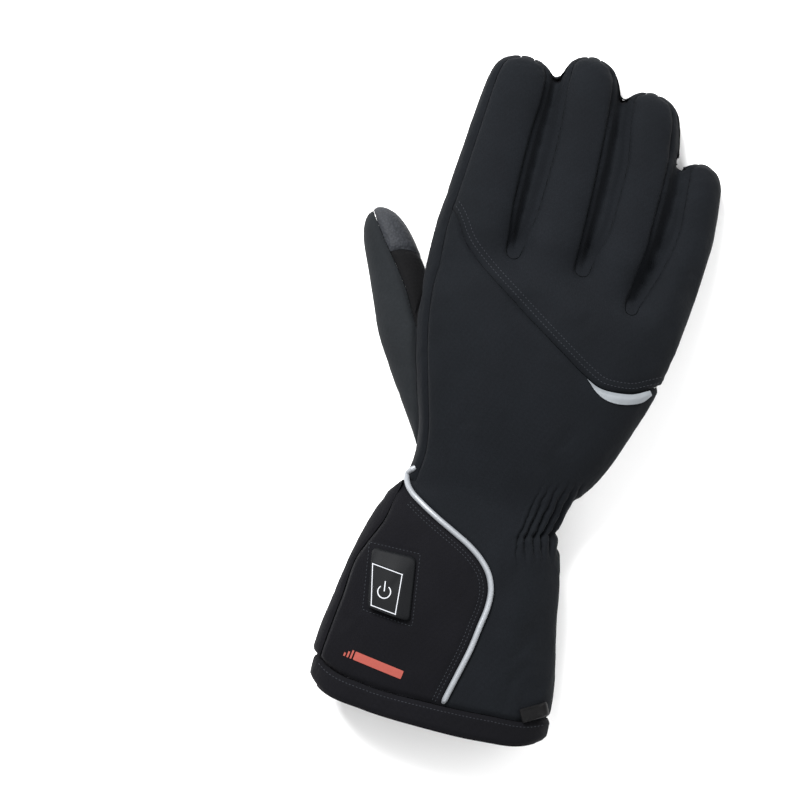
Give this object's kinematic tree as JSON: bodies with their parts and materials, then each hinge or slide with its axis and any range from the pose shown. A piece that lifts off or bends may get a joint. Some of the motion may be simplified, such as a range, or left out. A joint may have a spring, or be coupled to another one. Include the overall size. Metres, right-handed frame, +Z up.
{
  "type": "heated glove",
  "caption": "Padded soft-shell heated glove for the right hand, with a gauntlet cuff, battery pocket, power button, closure flap and touch-screen fingertips.",
  "frame": {"origin": "on the surface the glove lies on, under the middle of its outline", "axes": "+Y from the cuff to the fingertips, +X to the little finger side, +Z up, out of the back of the hand"},
  "size_m": [0.1514, 0.3032, 0.0492],
  "materials": {
    "soft_shell": "matte padded soft-shell cloth",
    "thumb_shell": "matte soft-shell cloth, brushed",
    "cuff_shell": "matte soft-shell cloth",
    "palm_cloth": "dull synthetic suede",
    "hem_cloth": "matte knitted band",
    "touch_grain": "grained artificial leather",
    "piping_cord": "pale woven piping",
    "reflective_tape": "retroreflective tape",
    "button_rubber": "satin moulded silicone",
    "tag_rubber": "satin moulded rubber",
    "badge_print": "red heat-transfer film",
    "grip_silicone": "glossy printed silicone"
  },
  "bodies": {
    "root": {"finger_back_panel": "soft_shell", "hand_back_panel": "soft_shell", "index_side_strip": "soft_shell", "fourchette_index_middle": "soft_shell", "fourchette_middle_ring": "soft_shell", "fourchette_ring_little": "soft_shell", "thumb_back": "thumb_shell", "thumb_front": "palm_cloth", "palm_panel": "palm_cloth", "touch_patch_index": "touch_grain", "touch_patch_thumb": "touch_grain", "cuff_palm_panel": "cuff_shell", "pocket_panel": "cuff_shell", "closure_flap": "cuff_shell", "hem_band": "hem_cloth", "piping": "piping_cord", "reflective_crescent": "reflective_tape", "power_button": "button_rubber", "label_tag": "tag_rubber", "heat_bar_low": "badge_print", "heat_bar_mid": "badge_print", "heat_bar_high": "badge_print", "heat_label_bar": "badge_print", "grip_line_01": "grip_silicone", "grip_line_02": "grip_silicone", "grip_line_03": "grip_silicone", "grip_line_04": "grip_silicone", "grip_line_05": "grip_silicone", "grip_line_06": "grip_silicone", "grip_line_07": "grip_silicone", "grip_line_08": "grip_silicone", "grip_line_09": "grip_silicone", "grip_line_10": "grip_silicone", "grip_line_11": "grip_silicone", "grip_line_12": "grip_silicone"}
  },
  "joints": []
}
